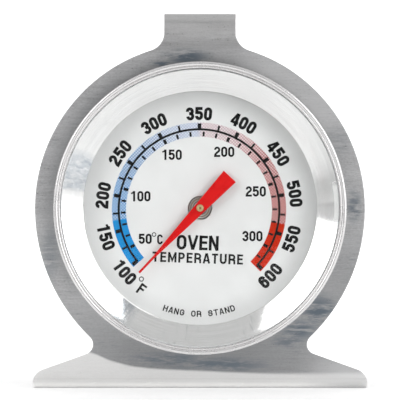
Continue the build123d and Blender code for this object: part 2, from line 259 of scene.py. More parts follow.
class Look(Nodes):
    """A Principled material. The constants are set on the shader's own sockets."""

    def __init__(self, name, **constants):
        self.material = bpy.data.materials.new(name)
        self.material.use_nodes = True
        super().__init__(self.material.node_tree, "Object")
        self.bsdf = self.tree.nodes["Principled BSDF"]
        for socket, value in constants.items():
            self.bsdf.inputs[socket.replace("_", " ")].default_value = value

    def to(self, socket, value):
        self.feed(self.bsdf.inputs[socket], value)

    def fed(self, socket):
        """What feeds a socket of the shader so far."""
        return self.bsdf.inputs[socket].links[0].from_socket

    def dress(self, tone, rough, height, microns, strength=1.0, normal=None):
        """Feeds the shader's colour and roughness, and a relief that is so many microns high."""
        self.to("Base Color", tone)
        self.to("Roughness", rough)
        self.to("Normal", self.bump(height, microns, normal, strength))

    def bump(self, height, microns, normal=None, strength=1.0):
        inputs = {"Height": height, "Distance": microns * MM * MM, "Strength": strength, "Normal": normal}
        return self.node("Bump", inputs).outputs[0]

    def clouds(self, cells, detail=3.0, rough=0.55, distortion=0.0):
        inputs = {0: cells, "Scale": 1.0, "Detail": detail, "Roughness": rough, "Distortion": distortion}
        return self.node("TexNoise", inputs).outputs[0]

    def noise(self, per_mm, offset=(0.0, 0.0, 0.0), **settings):
        """Noise with so many cells per millimetre: one number, or one each along x, y and z."""
        along = per_mm if isinstance(per_mm, tuple) else (per_mm,) * 3
        inputs = {0: self.place, "Scale": [s / MM for s in along], "Location": offset}
        return self.clouds(self.node("Mapping", inputs).outputs[0], **settings)

    def ring_noise(self, per_mm, per_degree, **settings):
        """Noise round the dial's axis, with so many cells per millimetre outward and per degree round."""
        radius, angle = self.polar()
        cells = self.node("CombineXYZ", {0: self.times(radius, per_mm), 1: self.times(angle, per_degree)})
        return self.clouds(cells.outputs[0], **settings)

    def millimetres(self):
        """The coordinates' x, y and z."""
        return [self.math("DIVIDE", part, MM) for part in self.split()]

    def polar(self):
        """The radius, and the angle from -180 to 180, about the dial's axis."""
        x, _, z = self.split()
        up = self.minus(z, DIAL_Z)
        return self.math("DIVIDE", self.length(x, up), MM), self.math("DEGREES", self.math("ARCTAN2", up, x))

    def from_bottom(self, angle):
        """An angle brought between -90 and 270, so that it runs on past 9 o'clock."""
        return self.math("WRAP", angle, 270.0, -90.0)

    def facing(self, angle, towards):
        """1 where an angle is the given one, and -1 across from it."""
        return self.math("COSINE", self.math("RADIANS", self.minus(angle, towards)))


def wear(*pieces, look):
    """Puts a look on pieces or CAD nodes."""
    for piece in pieces:
        piece = frame["nodes"][piece] if isinstance(piece, str) else piece
        piece.data.materials.clear()
        piece.data.materials.append(look.material)


STEEL = (0.57, 0.57, 0.575)
FOOT_HALF = 31.0  # half the foot's width
# The sheet above the fold leans: the left wing from its notch down, the right one hardly at all. Across the
# foot from left to right, by share of its width: the height where the lean starts, in centimetres.
FOLD_RUN = ((0.0, 0.84), (0.16, 0.70), (0.24, 0.52), (0.32, 0.41), (0.50, 0.345), (0.80, 0.265), (1.0, 0.20))
FOLD_LEAN = 0.34  # how far the sheet leans for each millimetre below that height
# Dark marks on the bracket: x and z of the middle, half the width, half the height, and strength.
BRACKET_MARKS = (
    (-2.6, 61.8, 4.2, 1.5, 0.95), (-7.0, 60.5, 2.4, 0.5, 0.9),  # foot of the tab
    (3.6, 4.5, 8.5, 1.3, 0.84), (-5.8, 5.5, 6.5, 1.2, 0.84),  # above the fold
    (22.0, 14.6, 3.6, 2.8, 0.95), (18.5, 11.0, 3.4, 1.8, 0.9), (16.6, 8.8, 3.0, 1.2, 0.7),  # right notch
    (25.5, 46.0, 2.6, 3.0, 0.3), (-28.0, 25.0, 1.8, 5.0, 0.45), (28.7, 34.0, 1.3, 3.0, 0.8),  # ring
)


def fold_lean(look, x, z):
    """The normal where the sheet leans above the fold, and how much a place belongs to that lean."""
    along = look.node("MapRange", {0: x, 1: -FOOT_HALF, 2: FOOT_HALF}).outputs[0]
    run = look.node("FloatCurve", {1: along})
    points = run.mapping.curves[0].points
    while len(points) < len(FOLD_RUN):
        points.new(0.5, 0.5)
    for point, place in zip(points, FOLD_RUN):
        point.location = place
    run.mapping.update()
    below = look.minus(look.times(run.outputs[0], 10.0), z)
    drop = look.times(look.most(below, 0.0), -FOLD_LEAN * MM)
    tilt = look.node("Bump", {"Height": drop, "Distance": 1.0, "Strength": 1.0}).outputs[0]
    return tilt, look.stretch(below, -0.15, 0.45)


def brushed_steel():
    """Steel sheet brushed along x: fine streaks and grain, cloudy tone, and blue-grey marks.

    The marks lie by the rim, on the tab, above the fold and at the right notch. Round the rim the sheet is
    darkened with painted shade and a painted reflection of the bezel; the lean, the bend and the foot get a
    painted reflection.
    """
    look = Look("bracket_brushed", Metallic=1.0, Anisotropic=0.5, Anisotropic_Rotation=0.25)
    stretch, times, most = look.stretch, look.times, look.most
    x, y, z = look.millimetres()
    radius, angle = look.polar()
    tilt, leaning = fold_lean(look, x, z)
    upright = look.minus(1.0, leaning)
    coarse = look.noise((0.12, 2.4, 2.4), detail=4.0, rough=0.7)
    fine = look.noise((0.6, 8.0, 8.0), detail=4.0, rough=0.65)
    grain = look.noise((2.6, 4.4, 4.4), rough=0.6)
    cloud = look.noise((0.07, 0.12, 0.12), rough=0.5)
    streak = look.plus(times(coarse, 0.35), times(fine, 0.3), times(grain, 0.35))
    tone = look.mix(stretch(streak, 0.36, 0.64), shaded(STEEL, 0.80), shaded(STEEL, 1.17))
    tone = look.over(tone, shaded(STEEL, 1.18), cloud, 0.38, 0.62, 0.3)

    # Darker round the rim, mostly at the upper left: painted shade and a painted reflection of the bezel.
    # Darker above the fold and low on the right as well.
    upper_left = stretch(look.facing(angle, 140.0), -0.1, 0.7, 0.25, 1.0)
    painted_rim_shade = times(stretch(radius, 30.4, 27.3, 0.0, 0.42), upper_left)
    above_fold = times(stretch(z, 22.0, 6.0), stretch(z, 1.6, 3.4),
                       stretch(look.size(x), 34.0, 6.0, 0.45, 1.0), 0.68)
    low_right = times(stretch(x, 4.0, 22.0, 0.0, 0.45), stretch(z, 40.0, 14.0))
    darker_tone = times(most(painted_rim_shade, above_fold, low_right), upright)
    tone = look.mix(darker_tone, tone, shaded(STEEL, 0.36, 0.37, 0.38))

    smudge = look.noise((0.26, 1.5, 1.5), offset=(3.1, 0.0, 1.7), detail=6.0, rough=0.68)
    spots = 0.0
    for at_x, at_z, wide, tall, share in BRACKET_MARKS:
        away = look.length(look.math("DIVIDE", look.minus(x, at_x), wide),
                           look.math("DIVIDE", look.minus(z, at_z), tall))
        spots = most(spots, stretch(away, 1.5, 0.2, 0.0, share))
    marked = times(stretch(smudge, 0.36, 0.56), spots, upright)
    stray = stretch(smudge, 0.60, 0.76, 0.0, 0.4)
    tone = look.mix(most(marked, stray), tone, shaded(STEEL, 0.27, 0.33, 0.39))

    # Painted reflection of the pale floor: lighter on the lean and the bend, and palest at the foot.
    painted_bend_reflection = most(leaning, stretch(z, 3.2, 2.4))
    tone = look.mix(times(painted_bend_reflection, 0.72), tone, (0.79, 0.785, 0.775))
    tone = look.over(tone, (0.97, 0.965, 0.955), z, 1.4, 0.6)
    # The tab is bright towards its top, with a darker line across it.
    tone = look.over(tone, (0.72, 0.715, 0.71), z, 62.5, 67.5, 0.6)
    tone = look.mix(look.within(z, 64.0, 1.6, 0.2, 0.35), tone, 0.36)
    # The upper right of the ring and the tip of the right wing are bright too.
    tone = look.over(tone, 0.80, look.facing(angle, 52.0), 0.88, 0.99, 0.55)
    wing = times(stretch(x, 17.0, 28.0, 0.0, 0.7), stretch(z, 8.5, 4.0))
    tone = look.mix(wing, tone, 0.72)
    # Behind, the sheet is as the mill left it: greyer, without the polish of its face.
    face = low("stand_bracket").y / MM
    plate = times(stretch(y, face + 0.2, face + 0.4), stretch(z, 1.6, 2.4), stretch(z, 67.6, 67.0))
    rear = most(plate, stretch(y, face + 1.5, face + 4.0))
    tone = look.mix(times(rear, 0.75), tone, (0.27, 0.275, 0.28))
    look.dress(tone, look.spread(streak, 0.25, 0.43), streak, 7.0, 0.5, tilt)
    # Less metallic along the bottom edge, so that its painted pale tone shows instead of a reflected contact
    # shadow.
    look.to("Metallic", stretch(z, 0.55, 0.2, 1.0, 0.25))
    look.to("Tangent", look.node("CombineXYZ", {0: 1.0, 1: 0.0, 2: 0.0}).outputs[0])
    return look


def bright_metal(name, base, rough, lines=0.0, metallic=1.0):
    """Drawn or rolled metal with a polish: faint turning lines, slow ripples, and dull spots from handling."""
    look = Look(name, Metallic=metallic)
    rings = look.ring_noise(5.0, 0.03, detail=2.0)
    waves = look.noise(0.12, detail=2.0)
    haze = look.noise(0.35, offset=(4.0, 0.0, 9.0), detail=4.0)
    tone = look.mix(look.spread(rings), shaded(base, 0.94), base)
    look.dress(look.over(tone, shaded(base, 0.86), haze, 0.55, 0.75, 0.35),
               look.stretch(haze, 0.35, 0.75, rough * 0.8, rough * 1.5),
               waves, 50.0, normal=look.bump(rings, lines) if lines else None)
    return look


def plain_metal(name, base, rough):
    """Small turned, stamped or staked parts: fine grain and slightly uneven tone."""
    look = Look(name, Metallic=1.0)
    fine = look.noise(7.5, detail=4.0)
    patch = look.noise(0.8)
    look.dress(look.mix(look.stretch(patch, 0.35, 0.65), shaded(base, 0.82), base),
               look.spread(fine, rough - 0.06, rough + 0.08), fine, 3.0, 0.6)
    return look


# ---- bezel, reflector, lens and dial
def arc_through(a, b, c, steps):
    """Points along the circle through three points, from a to c."""
    (ax, ay), (bx, by), (cx, cy) = a, b, c
    d = 2 * (ax * (by - cy) + bx * (cy - ay) + cx * (ay - by))
    a2, b2, c2 = ax * ax + ay * ay, bx * bx + by * by, cx * cx + cy * cy
    ux = (a2 * (by - cy) + b2 * (cy - ay) + c2 * (ay - by)) / d
    uy = (a2 * (cx - bx) + b2 * (ax - cx) + c2 * (bx - ax)) / d
    start, middle, end = (degrees(atan2(y - uy, x - ux)) for x, y in (a, b, c))
    span = (end - start) % 360
    if (middle - start) % 360 > span:
        span -= 360
    return bow(ux, uy, sqrt((ax - ux) ** 2 + (ay - uy) ** 2), start, start + span, steps)


SHELL = 0.4  # the rim's wall
bezel_r = high("bezel").x / MM - 0.03  # the outer bead swells past its wall
bezel_front, skirt_end = depths("bezel")
bezel_front += 0.002  # the beads' tops stay inside the CAD box
lens_r = high("lens").x / MM
lens_front, lens_back = depths("lens")
reflector_front = depths("reflector_ring")[0]
dial_face, dial_back = depths("dial_plate")
dial_r = high("dial_plate").x / MM
LIP_R = 25.9
GROOVE_R = 26.32
SKIRT_R = 26.25
SEAT_R = 26.74
CONE_R = 25.7
CONE_FOOT_R = 21.8
CONE_FOOT = 1.45
DIAL_HOLE_R = 2.24


def make_bezel():
    """The rolled rim: a broad and a narrow bead with a groove between them, the lens's seat, and the skirt."""
    groove = (GROOVE_R, bezel_front + 0.25)
    outer = arc_through((bezel_r, bezel_front + 0.6), ((bezel_r + GROOVE_R) / 2, bezel_front), groove, 20)
    inner = arc_through(groove, ((GROOVE_R + LIP_R) / 2, bezel_front + 0.08), (LIP_R, bezel_front + 0.33), 12)
    seat = [(LIP_R + 0.02, lens_front), (SEAT_R, lens_front), (SEAT_R, -SHELL), (SKIRT_R - SHELL, -SHELL)]
    skirt = [(SKIRT_R - SHELL, skirt_end), (SKIRT_R, skirt_end), (SKIRT_R, 0.0)]
    heel = bow(bezel_r - 0.1, -0.1, 0.1, 90, 0, 4)
    profile = outer + inner + seat + skirt + heel
    return lathe("bezel_rim", profile, ROOT, ["bezel"], segments=480)


def make_reflector():
    """The bright cone: a flange under the lens, a rounded bend, the slope, and a small lip round the dial."""
    sheet_r, sheet_depth = 0.09, 0.35  # from the cone's front to its back
    bend, bend_r, slope = 0.5, CONE_R + 0.25, 29
    front = [(lens_r, reflector_front), (bend_r, reflector_front)]
    front += bow(bend_r, reflector_front + bend, bend, -90, -90 - slope, 4)[1:]
    foot = [(CONE_FOOT_R + 0.12, CONE_FOOT - 0.07), (CONE_FOOT_R + 0.03, CONE_FOOT)]
    foot += [(CONE_FOOT_R, CONE_FOOT + 0.09), (CONE_FOOT_R, dial_face)]
    back = [(CONE_FOOT_R + sheet_r, dial_face), (CONE_R + sheet_r, reflector_front + sheet_depth)]
    back += [(lens_r, reflector_front + sheet_depth)]
    return lathe("reflector", front + foot + back, ROOT, ["reflector_ring"])


def make_lens():
    edge = 0.1
    profile = [(0, lens_front), (lens_r - edge, lens_front), (lens_r, lens_front + edge)]
    profile += [(lens_r, lens_back - edge), (lens_r - edge, lens_back), (0, lens_back)]
    return lathe("lens_glass", profile, ROOT, ["lens"])


def make_gasket():
    outer_r, inner_r, lip_r = high("lens_gasket").x / MM, 25.72, 0.2
    front, back = depths("lens_gasket")
    lip = bow(inner_r + lip_r, (front + back) / 2, lip_r, 90, 270, 8)
    profile = lip + [(outer_r, front), (outer_r, back)]
    return lathe("lens_seal", profile, ROOT, ["lens_gasket"])


def make_dial():
    burr = 0.08
    hole = bow(DIAL_HOLE_R + burr, dial_face + burr, burr, -90, -180, 4)
    profile = [(dial_r, dial_face), *hole, (DIAL_HOLE_R, dial_back), (dial_r, dial_back)]
    return lathe("dial_face", profile, ROOT, ["dial_plate"])


bezel = make_bezel()
reflector = make_reflector()
lens = make_lens()
lens.visible_shadow = False
gasket = make_gasket()
dial = make_dial()

# ---- printing on the dial
INK = 0.02  # film thickness
PRINT_X, PRINT_Z = -0.18, -0.30  # the printing is a little off centre
PRINT_SLOPE = -1.9  # and its level lines slope down to the right
BAND_INNER, BAND_OUTER = 13.63, 16.28
SCALE_START, SCALE_END = 221.1, -45.3
ARC_R, ARC_HALF = 15.0, 0.2
ARC_END = 0.6  # the arc stops this many degrees inside its end ticks
FAHRENHEIT_TICK_END = 16.1
CELSIUS_TICK = (13.7, 14.6)
# Fahrenheit readings and the angles they are printed at; the scale runs evenly between them.
SCALE_MARKS = ((100, 219.6), (250, 145.8), (350, 89.7), (600, -43.3))
# The figures were set near their ticks.
FIGURE_ANGLES = {100: 220.0, 150: 196.3, 200: 171.6, 250: 144.4, 300: 117.6, 350: 90.0,
                 400: 62.7, 450: 35.4, 500: 9.4, 550: -17.5, 600: -42.9}
FIGURE_R, TOP_FIGURE_R = 18.17, 17.95
CELSIUS_FIGURES = {"150": (-5.1, 10.25), "200": (4.7, 10.8), "100": (-10.95, 2.5),
                   "250": (10.6, 3.4), "300": (9.97, -4.95)}


def scale_angle(fahrenheit):
    readings, angles = zip(*SCALE_MARKS)
    return float(np.interp(fahrenheit, readings, angles))


def on_face(x, z, level):
    """A point of the printing, a level above the dial's face."""
    return at_depth(x + PRINT_X, z + PRINT_Z, dial_face - level)


def on_band(x, z, level):
    """The same on top of the coloured band."""
    return on_face(x, z, level * 2)


def film(bm, left, right, place, closed=False):
    """A thin solid strip between two rows of points, from the dial's face to the top of the ink."""
    rows = [[bm.verts.new(place(x, y, level)) for (x, y), level in
             ((a, INK), (b, INK), (b, 0.0), (a, 0.0))] for a, b in zip(left, right)]
    tube(bm, rows, closed)


def sector(bm, inner, outer, start, end, place=on_band):
    """A strip of ink between two radii and two angles."""
    count = ceil(abs(end - start))
    film(bm, bow(0, 0, inner, start, end, count), bow(0, 0, outer, start, end, count), place)


def make_band():
    bm = bmesh.new()
    sector(bm, BAND_INNER, BAND_OUTER, SCALE_START, SCALE_END, on_face)
    return finish_mesh("scale_band", bm, ROOT)


def make_scale():
    """The black arc with its Fahrenheit ticks outside and its Celsius ticks inside."""
    bm = bmesh.new()

    def tick(angle, inner, outer, width):
        half = degrees(width / (inner + outer))
        sector(bm, inner, outer, angle + half, angle - half)

    sector(bm, ARC_R - ARC_HALF, ARC_R + ARC_HALF, scale_angle(100) + ARC_END, scale_angle(600) - ARC_END)
    for reading in range(100, 601, 25):
        tick(scale_angle(reading), ARC_R, FAHRENHEIT_TICK_END, 0.68 if reading % 50 == 0 else 0.38)
    for reading in range(50, 311, 10):
        tick(scale_angle(reading * 9 / 5 + 32), *CELSIUS_TICK, 0.55 if reading % 50 == 0 else 0.38)
    return finish_mesh("scale_lines", bm, ROOT)


def bend(a, b, c, d):
    """A cubic curve from a to d, pulled towards b and c."""
    points = []
    for i in range(11):
        s = i / 10
        m = 1 - s
        weights = (m * m * m, 3 * m * m * s, 3 * m * s * s, s * s * s)
        points.append(tuple(sum(k * p[axis] for k, p in zip(weights, (a, b, c, d))) for axis in (0, 1)))
    return points


def glyph(letter, w, t):
    """A letter's or figure's strokes, in a box one unit high and w wide, for a pen t thick.

    Each stroke is its centre line, its share of the pen's thickness, and True if it closes on itself.
    """
    left, right, base, top, middle = t / 2, w - t / 2, t / 2, 1 - t / 2, w / 2
    rx = (right - left) / 2
    ry = rx * 1.08
    high_y, low_y = top - ry, base + ry
    waist = 0.52
    over = bow(middle, high_y, rx, 180, 0, 12, ry)
    under = bow(middle, low_y, rx, 0, -180, 12, ry)
    round_back = over[::-1] + under[::-1]
    stem = ([(left, 0), (left, 1)], 1)
    far_stem = ([(right, 0), (right, 1)], 1)
    ring = (over + under, 1, True)

    def bar(y, share, start=0.0, end=w):
        return [(start, y), (end, y)], share

    def bowl(foot):
        """The round of a P or an R, from the top of the stem to the foot of the bowl."""
        round_part = bow(middle, (top + foot) / 2, rx, 90, -90, 10, (top - foot) / 2)
        return [(left, top)] + round_part + [(left, foot)], 0.95

    shapes = {
        "0": [ring],
        "1": [([(w * 0.62, 0), (w * 0.62, 1)], 1),
              (bend((w * 0.1, 0.775), (w * 0.38, 0.79), (w * 0.5, 0.85), (w * 0.56, 0.99)), 0.72)],
        "2": [(over + bend((right, high_y), (right, 0.48), (left, 0.42), (left, base))
               + [(left + 0.02, base)], 1), bar(base, 1)],
        "3": [(over + bow(middle, high_y, rx, 0, -90, 6, high_y - waist)[1:] + [(middle - 0.07, waist)], 1),
              ([(middle - 0.07, waist), (middle, waist)]
               + bow(middle, low_y, rx, 90, 0, 6, waist - low_y)[1:] + under[1:], 1)],
        "4": [([(w * 0.70, 0), (w * 0.70, 1)], 1), ([(w * 0.60, 0.99), (t * 0.36, 0.28)], 0.78),
              bar(0.27, 0.86)],
        "5": [([(w * 0.94, top), (left + 0.03, top), (left + 0.01, 0.46)], 1),
              (bow(middle, 0.625 - t / 2 - rx * 0.5, rx, 155, 0, 10, rx * 0.9) + under, 1)],
        "6": [(round_back + bow(middle, 0.60 - ry * 0.9, rx, 0, 165, 12, ry * 0.9), 1)],
        "A": [([(left * 0.75, 0), (middle - t * 0.12, 1)], 0.95),
              ([(w - left * 0.75, 0), (middle + t * 0.12, 1)], 0.95), bar(0.28, 0.85, w * 0.22, w * 0.78)],
        "C": [(round_back, 1)],
        "D": [stem, ([(left, top), (middle, top)] + bow(middle, high_y, rx, 90, 0, 6, ry)
                     + bow(middle, low_y, rx, 0, -90, 6, ry) + [(left, base)], 1)],
        "E": [stem, bar(top, 0.9), bar(waist, 0.9, 0, w * 0.93), bar(base, 0.9)],
        "F": [stem, bar(top, 0.9), bar(waist, 0.9, 0, w * 0.9)],
        "G": [(round_back[:-1] + [(right, low_y), (right, 0.46), (middle, 0.46)], 1)],
        "H": [stem, far_stem, bar(waist, 0.9)],
        "M": [stem, far_stem, ([(left, 1), (middle, 0.2), (right, 1)], 0.8)],
        "N": [stem, far_stem, ([(left, 1), (right, 0)], 0.9)],
        "O": [ring],
        "P": [stem, bowl(0.44)],
        "R": [stem, bowl(0.46), ([(middle, 0.46), (right, 0.38), (right + 0.02, 0)], 0.95)],
        "S": [(over[::-1] + bend((left, high_y), (left, waist - 0.02), (right, waist + 0.04), (right, low_y))
               + under, 1)],
        "T": [([(middle, 0), (middle, 1)], 1), bar(top, 0.9)],
        "U": [([(left, 1)] + under[::-1] + [(right, 1)], 1)],
        "V": [([(left * 0.8, 1), (middle, t * 0.1)], 0.95), ([(w - left * 0.8, 1), (middle, t * 0.1)], 0.95)],
        "o": [ring],
    }
    return shapes[letter]


def pen(bm, points, width, closed, place):
    """Draws one stroke with mitred corners."""
    same, sharpest = 1e-4, 0.35  # points this close are one, and the share that limits a mitre's length
    clean = [Vector(points[0])]
    for point in points[1:]:
        if (Vector(point) - clean[-1]).length > same:
            clean.append(Vector(point))
    if closed and (clean[0] - clean[-1]).length < same:
        clean.pop()
    count = len(clean)
    left, right = [], []
    for i, point in enumerate(clean):
        before = clean[i - 1] if i or closed else None
        after = clean[(i + 1) % count] if i < count - 1 or closed else None
        pairs = [(a, b) for a, b in ((before, point), (point, after)) if a is not None and b is not None]
        ways = [(b - a).normalized() for a, b in pairs]
        normals = [Vector((-d.y, d.x)) for d in ways]
        side = sum(normals, Vector((0, 0))).normalized()
        side *= width / 2 / max(sharpest, side.dot(normals[0]))
        left.append(tuple(point + side))
        right.append(tuple(point - side))
    film(bm, left, right, place, closed)


def write(bm, letter, centre, turn, size):
    """One letter about (x, z), turned anticlockwise. Its size is a height, a width and a pen's thickness."""
    height, width, stroke = size
    axis_x = Vector((cos(radians(turn)), sin(radians(turn))))
    axis_y = Vector((-axis_x.y, axis_x.x))

    def place(x, y, level):
        spot = Vector(centre) + axis_x * (x - width / height / 2) * height + axis_y * (y - 0.5) * height
        return on_face(spot.x, spot.y, level)

    for points, share, *closed in glyph(letter, width / height, stroke / height):
        pen(bm, points, share * stroke / height, bool(closed), place)


def write_round(bm, text, radius, angle, size, advance=0.0, inward=False):
    """Text that follows a circle, tops outward, or tops toward the centre."""
    way = 1 if inward else -1
    step = degrees(advance / radius)
    for i, letter in enumerate(text):
        here = angle + way * step * (i - (len(text) - 1) / 2)
        if letter != " ":
            centre = (radius * cos(radians(here)), radius * sin(radians(here)))
            write(bm, letter, centre, here + 90 * way, size)


LETTER_WIDTHS = {"M": 1.24, "E": 0.86, "T": 0.9, "V": 1.08, "P": 0.95, "A": 1.04}


def write_level(bm, text, centre, size, gap=0.0, slope=PRINT_SLOPE):
    """One line of text about its middle. The size is a plain letter's, and some are wider or narrower."""
    height, width, stroke = size
    widths = [width * LETTER_WIDTHS.get(letter, 1.0) for letter in text]
    along = -(sum(widths) + gap * (len(text) - 1)) / 2
    for letter, own in zip(text, widths):
        x = along + own / 2
        spot = (centre[0] + x * cos(radians(slope)), centre[1] + x * sin(radians(slope)))
        write(bm, letter, spot, slope, (height, own, stroke))
        along += own + gap


def make_numerals():
    bm = bmesh.new()
    for reading, angle in FIGURE_ANGLES.items():
        write_round(bm, str(reading), TOP_FIGURE_R if reading == 350 else FIGURE_R, angle,
                    (2.45, 1.5, 0.575), advance=1.68, inward=reading in (100, 150, 550, 600))
    for text, centre in CELSIUS_FIGURES.items():
        write_level(bm, text, centre, (1.94, 1.15, 0.38), gap=0.16, slope=0)
    return finish_mesh("scale_figures", bm, ROOT)


def make_lettering():
    """The lowest Celsius figure with its unit, the Fahrenheit unit, and the wording."""
    bm = bmesh.new()
    write_level(bm, "50", (-10.05, -5.45), (1.9, 1.14, 0.38), gap=0.15, slope=0)
    write_level(bm, "o", (-8.4, -4.65), (0.85, 0.85, 0.15))
    write_level(bm, "C", (-7.3, -5.55), (1.85, 1.05, 0.34), slope=0)
    first = scale_angle(100)
    write_round(bm, "o", 16.85, first + 10.7, (0.98, 0.98, 0.17), inward=True)
    write_round(bm, "F", 18.35, first + 14.55, (2.12, 1.25, 0.42), inward=True)
    write_level(bm, "OVEN", (-0.25, -6.18), (2.75, 1.82, 0.53), gap=0.22)
    write_level(bm, "TEMPERATURE", (-0.25, -9.05), (1.9, 1.28, 0.38), gap=0.335)
    write_round(bm, "HANG OR STAND", 19.45, 270, (1.15, 0.85, 0.22), advance=1.06, inward=True)
    return finish_mesh("dial_lettering", bm, ROOT)


band = make_band()
scale = make_scale()
numerals = make_numerals()
lettering = make_lettering()


# ---- pointer, arbor and coil
POINTER_ANGLE = 226.7
REACH = 16.55
TAIL = 8.1
pointer_front, pointer_back = depths("pointer")
arbor_front, arbor_end = depths("arbor")
coil_front, coil_back = depths("bimetal_coil")


def make_pointer():
    """A stamped blade: its front edges are rolled over a little, and the arbor goes through it."""
    turn = radians(POINTER_ANGLE)
    bm = bmesh.new()
    hole_r, ease, per_side = 0.5, 0.06, 16
    half_widths = ((-TAIL, 1.55), (5.5, 0.7), (12.5, 0.23), (REACH, 0.21))

    def outline(inset):
        """The blade's edge, drawn in by the inset, with the same number of points every time."""
        upper = [(min(max(x, inset - TAIL), REACH - inset), y - inset) for x, y in half_widths]
        corners = upper + [(x, -y) for x, y in upper[::-1]]
        points = []
        for (ax, ay), (bx, by) in zip(corners, corners[1:] + corners[:1]):
            points += [(ax + (bx - ax) * i / per_side, ay + (by - ay) * i / per_side) for i in range(per_side)]
        return points

    def ring_of(points, depth):
        return [bm.verts.new(on_dial(sqrt(x * x + y * y), degrees(atan2(y, x) + turn), depth))
                for x, y in points]

    edge = outline(0)
    hole = [(hole_r * cos(t), hole_r * sin(t)) for t in (atan2(y, x) for x, y in edge)]
    rings = [ring_of(hole, pointer_back), ring_of(hole, pointer_front)]
    for t in (radians(step) for step in (0, 30, 60, 90)):
        rings.append(ring_of(outline(ease * (1 - sin(t))), pointer_front + ease * (1 - cos(t))))
    rings.append(ring_of(edge, pointer_back))
    tube(bm, rings, closed=True)
    return finish_mesh("pointer_blade", bm, TURNING, ["pointer"], 40)


def make_arbor():
    """A staked head with a punch mark, then the shank with the clip's groove near its end."""
    head_r, shank_r, punch, groove = 0.68, 0.5, 0.27, 0.07
    front = [(0, arbor_front + punch), (0.05, arbor_front + punch - 0.03), (punch - 0.02, arbor_front + 0.03)]
    front += bow(punch + 0.03, arbor_front + 0.04, 0.04, -160, -90, 4)
    front += bow(head_r - 0.09, arbor_front + 0.09, 0.09, -90, 0, 6)
    shank = [(head_r, pointer_front), (shank_r, pointer_front)]
    shank += [(shank_r, arbor_end - 0.35), (shank_r - groove, arbor_end - 0.3)]
    shank += [(shank_r - groove, arbor_end - 0.2), (shank_r, arbor_end - 0.15), (shank_r, arbor_end - 0.1)]
    shank += bow(shank_r - 0.1, arbor_end - 0.1, 0.1, 0, 90, 4)[1:] + [(0, arbor_end)]
    return lathe("arbor_turned", front + shank, TURNING, ["arbor"], 40, 72)


def coil_line():
    """The strip's centre line: half circles on two centres, then a straight tail to the post."""
    start_r, pitch, halves, tail, into_post = 1.075, 0.42, 18, 3.2, 0.425
    line = []
    for k in range(halves):
        centre = pitch / 2 if k % 2 else 0.0
        start = 180.0 * (k % 2)
        line += bow(centre, 0.0, start_r + k * pitch / 2, start, start + 180, 24)[(1 if k else 0):]
    end_r = start_r + halves * pitch / 2
    line += [(end_r, (tail + into_post) * i / 8) for i in range(1, 9)]
    turn = -atan2(tail, end_r)
    return [Vector((x * cos(turn) - y * sin(turn), x * sin(turn) + y * cos(turn))) for x, y in line]


def make_coil():
    """The bimetal strip, along its centre line from the arbor out to the post."""
    line = coil_line()
    lengths = [0.0]
    for a, b in zip(line, line[1:]):
        lengths.append(lengths[-1] + (b - a).length)
    bm = bmesh.new()
    strip, ease = 0.25, 0.04
    half, front, back = strip / 2 - ease, coil_front + ease, coil_back - ease
    section = []
    for x, y, start in ((half, front, -90), (half, back, 0), (-half, back, 90), (-half, front, 180)):
        section += bow(x, y, ease, start, start + 90, 3)
    rows, wound = [], []  # wound: 1 at the arbor, 0 at the post
    for i, point in enumerate(line):
        ahead = (line[min(i + 1, len(line) - 1)] - line[max(i - 1, 0)]).normalized()
        spots = [(point + Vector((ahead.y, -ahead.x)) * offset, depth) for offset, depth in section]
        rows.append([bm.verts.new(at_depth(spot.x, spot.y, depth)) for spot, depth in spots])
        wound += [1 - lengths[i] / lengths[-1]] * len(section)
    tube(bm, rows)
    piece = finish_mesh("coil_spring", bm, None, ["bimetal_coil"], 40)
    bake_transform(piece)
    return piece


pointer = make_pointer()
arbor = make_arbor()
coil = make_coil()


# ---- finishes
def glass():
    look = Look("clear_glass", Base_Color=(0.985, 0.995, 0.99, 1), Transmission_Weight=1.0, IOR=1.22)
    haze = look.noise(0.25, detail=4.0)
    look.to("Roughness", look.stretch(haze, 0.55, 0.8, 0.0, 0.03))
    return look


def rubber():
    look = Look("grey_silicone", Specular_IOR_Level=0.3)
    grain = look.noise(6.0, detail=4.0)
    look.dress(look.mix(look.stretch(grain, 0.35, 0.7), (0.52, 0.52, 0.53), (0.68, 0.68, 0.69)),
               look.spread(grain, 0.55, 0.8), grain, 8.0, 0.5)
    return look


def enamel():
    """The dial's white: a faint orange peel, an uneven coat, the odd speck, and a painted shadow of the rim
    round its edge.
    """
    look = Look("dial_enamel", Specular_IOR_Level=0.35)
    radius, angle = look.polar()
    peel = look.noise(2.2, detail=2.0)
    coat = look.noise(0.14)
    speck = look.noise(3.2, offset=(5.0, 0.0, 2.0), detail=1.0)
    tone = look.mix(look.spread(coat), linear(218), linear(224))
    tone = look.over(tone, linear(170, 168, 162), speck, 0.76, 0.82, 0.35)
    # Painted shadow of the rim: greyer towards the dial's edge, most at the upper right.
    shade = look.math("MULTIPLY_ADD", look.facing(angle, 50.0), 0.06, 0.21)
    tone = look.mix(look.times(look.stretch(radius, 17.0, 21.7), shade), tone, linear(70))
    look.dress(tone, look.spread(peel, 0.42, 0.56), peel, 3.0, 0.4)
    return look


# The band's colours by angle, in screen values.
BAND_COLOURS = (
    (188.4, (30, 134, 200)), (187.6, (92, 162, 218)), (165.0, (94, 166, 222)), (150.0, (130, 174, 215)),
    (130.0, (162, 192, 224)), (110.0, (196, 214, 234)), (92.0, (204, 218, 236)), (88.0, (232, 211, 211)),
    (70.0, (226, 204, 204)), (50.0, (220, 168, 166)), (38.0, (200, 120, 116)), (30.0, (202, 124, 120)),
    (12.0, (190, 70, 62)), (-10.4, (188, 66, 58)), (-11.2, (182, 38, 4)), (-44.0, (192, 38, 4)),
)
DOT_PITCH = 0.56


